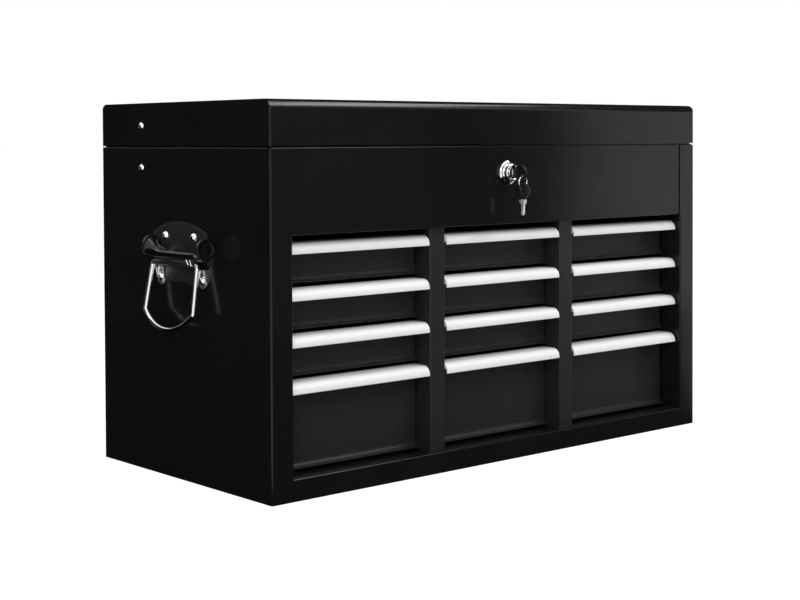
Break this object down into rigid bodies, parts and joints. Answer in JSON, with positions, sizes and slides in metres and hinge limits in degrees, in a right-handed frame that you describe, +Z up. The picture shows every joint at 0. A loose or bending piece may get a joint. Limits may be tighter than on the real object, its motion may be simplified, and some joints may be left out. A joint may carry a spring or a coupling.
{
  "type": "machinist tool chest",
  "caption": "Steel machinist's tool chest with columns of sliding drawers, bright hooded pulls, a till under a hinged lid with stays, a key lock and swinging side bails.",
  "frame": {"origin": "middle of the underside of the case, on the surface that the chest stands on", "axes": "+X to the chest's right seen from the front, +Y from the drawer fronts to the back, +Z up"},
  "size_m": [0.661, 0.3311, 0.371],
  "materials": {
    "black_paint": "semi-gloss black enamel",
    "drawer_paint": "semi-gloss black enamel",
    "satin_aluminium": "satin, silver",
    "chrome": "bright chrome plate",
    "zinc_plate": "zinc plated",
    "black_plastic": "satin black"
  },
  "bodies": {
    "cabinet": {"case_shell": "black_paint", "bottom_pan": "black_paint", "front_panel": "black_paint", "divider_left": "black_paint", "divider_right": "black_paint", "till_floor": "black_paint", "runners_left_column": "zinc_plate", "runners_middle_column": "zinc_plate", "runners_right_column": "zinc_plate", "hinge_case_leaf": "zinc_plate", "hinge_pin": "zinc_plate", "stay_case_rivets": "chrome", "lock_body": "chrome", "lock_nut": "zinc_plate", "handle_plate_left": "black_paint", "handle_plate_right": "black_paint", "handle_brackets_left": "chrome", "handle_brackets_right": "chrome", "handle_grip_left": "black_plastic", "handle_grip_right": "black_plastic", "handle_hangers": "chrome", "handle_rivets": "chrome"},
    "lid": {"lid": "black_paint", "hinge_lid_leaf": "zinc_plate", "lid_catch": "zinc_plate", "stay_lid_rivets": "chrome"},
    "stay_lower": {"stay_lower_links": "zinc_plate"},
    "stay_upper": {"stay_upper_links": "zinc_plate"},
    "lock_cylinder": {"lock_plug": "chrome", "lock_cam": "zinc_plate", "key_in_lock": "chrome"},
    "key_ring": {"key_ring": "chrome"},
    "spare_key": {"spare_key": "chrome"},
    "bail_left": {"bail_left": "chrome"},
    "bail_right": {"bail_right": "chrome"},
    "drawer_1_1": {"drawer_1_1": "drawer_paint", "pull_1_1": "satin_aluminium"},
    "drawer_1_2": {"drawer_1_2": "drawer_paint", "pull_1_2": "satin_aluminium"},
    "drawer_1_3": {"drawer_1_3": "drawer_paint", "pull_1_3": "satin_aluminium"},
    "drawer_1_4": {"drawer_1_4": "drawer_paint", "pull_1_4": "satin_aluminium"},
    "drawer_2_1": {"drawer_2_1": "drawer_paint", "pull_2_1": "satin_aluminium"},
    "drawer_2_2": {"drawer_2_2": "drawer_paint", "pull_2_2": "satin_aluminium"},
    "drawer_2_3": {"drawer_2_3": "drawer_paint", "pull_2_3": "satin_aluminium"},
    "drawer_2_4": {"drawer_2_4": "drawer_paint", "pull_2_4": "satin_aluminium"},
    "drawer_3_1": {"drawer_3_1": "drawer_paint", "pull_3_1": "satin_aluminium"},
    "drawer_3_2": {"drawer_3_2": "drawer_paint", "pull_3_2": "satin_aluminium"},
    "drawer_3_3": {"drawer_3_3": "drawer_paint", "pull_3_3": "satin_aluminium"},
    "drawer_3_4": {"drawer_3_4": "drawer_paint", "pull_3_4": "satin_aluminium"}
  },
  "joints": [
    {"name": "lid_hinge", "type": "hinge", "parent": "cabinet", "child": "lid", "pos_m": [0, 0.1515, 0.327], "axis": [-1, 0, 0], "range_deg": [0, 95]},
    {"name": "stay_lower_pivot", "type": "hinge", "parent": "cabinet", "child": "stay_lower", "pos_m": [0, 0.071, 0.3056], "axis": [-1, 0, 0], "range_deg": [0, 95.4]},
    {"name": "stay_upper_pivot", "type": "hinge", "parent": "lid", "child": "stay_upper", "pos_m": [0, 0.071, 0.3479], "axis": [-1, 0, 0], "range_deg": [-95.7, 0]},
    {"name": "lock_turn", "type": "hinge", "parent": "cabinet", "child": "lock_cylinder", "pos_m": [0, -0.1475, 0.2985], "axis": [0, 1, 0], "range_deg": [0, 90]},
    {"name": "key_ring_swing", "type": "hinge", "parent": "lock_cylinder", "child": "key_ring", "pos_m": [0, -0.169, 0.2955], "axis": [-1, 0, 0], "range_deg": [-20, 60]},
    {"name": "spare_key_slide_round_ring", "type": "hinge", "parent": "key_ring", "child": "spare_key", "pos_m": [0, -0.169, 0.28885], "axis": [0, 1, 0], "range_deg": [-90, 0]},
    {"name": "bail_left_swing", "type": "hinge", "parent": "cabinet", "child": "bail_left", "pos_m": [-0.3118, 0, 0.213], "axis": [0, 1, 0], "range_deg": [0, 80]},
    {"name": "bail_right_swing", "type": "hinge", "parent": "cabinet", "child": "bail_right", "pos_m": [0.3118, 0, 0.213], "axis": [0, -1, 0], "range_deg": [0, 80]},
    {"name": "drawer_1_1_slide", "type": "slide", "parent": "cabinet", "child": "drawer_1_1", "axis": [0, -1, 0], "range_m": [0, 0.2]},
    {"name": "drawer_1_2_slide", "type": "slide", "parent": "cabinet", "child": "drawer_1_2", "axis": [0, -1, 0], "range_m": [0, 0.2]},
    {"name": "drawer_1_3_slide", "type": "slide", "parent": "cabinet", "child": "drawer_1_3", "axis": [0, -1, 0], "range_m": [0, 0.2]},
    {"name": "drawer_1_4_slide", "type": "slide", "parent": "cabinet", "child": "drawer_1_4", "axis": [0, -1, 0], "range_m": [0, 0.2]},
    {"name": "drawer_2_1_slide", "type": "slide", "parent": "cabinet", "child": "drawer_2_1", "axis": [0, -1, 0], "range_m": [0, 0.2]},
    {"name": "drawer_2_2_slide", "type": "slide", "parent": "cabinet", "child": "drawer_2_2", "axis": [0, -1, 0], "range_m": [0, 0.2]},
    {"name": "drawer_2_3_slide", "type": "slide", "parent": "cabinet", "child": "drawer_2_3", "axis": [0, -1, 0], "range_m": [0, 0.2]},
    {"name": "drawer_2_4_slide", "type": "slide", "parent": "cabinet", "child": "drawer_2_4", "axis": [0, -1, 0], "range_m": [0, 0.2]},
    {"name": "drawer_3_1_slide", "type": "slide", "parent": "cabinet", "child": "drawer_3_1", "axis": [0, -1, 0], "range_m": [0, 0.2]},
    {"name": "drawer_3_2_slide", "type": "slide", "parent": "cabinet", "child": "drawer_3_2", "axis": [0, -1, 0], "range_m": [0, 0.2]},
    {"name": "drawer_3_3_slide", "type": "slide", "parent": "cabinet", "child": "drawer_3_3", "axis": [0, -1, 0], "range_m": [0, 0.2]},
    {"name": "drawer_3_4_slide", "type": "slide", "parent": "cabinet", "child": "drawer_3_4", "axis": [0, -1, 0], "range_m": [0, 0.2]}
  ],
  "couplings": [
    {"joint": "stay_lower_pivot", "follows": "lid_hinge", "ratio": 0.9989},
    {"joint": "stay_upper_pivot", "follows": "lid_hinge", "ratio": -1.0019},
    {"joint": "spare_key_slide_round_ring", "follows": "lock_turn", "ratio": -1}
  ]
}
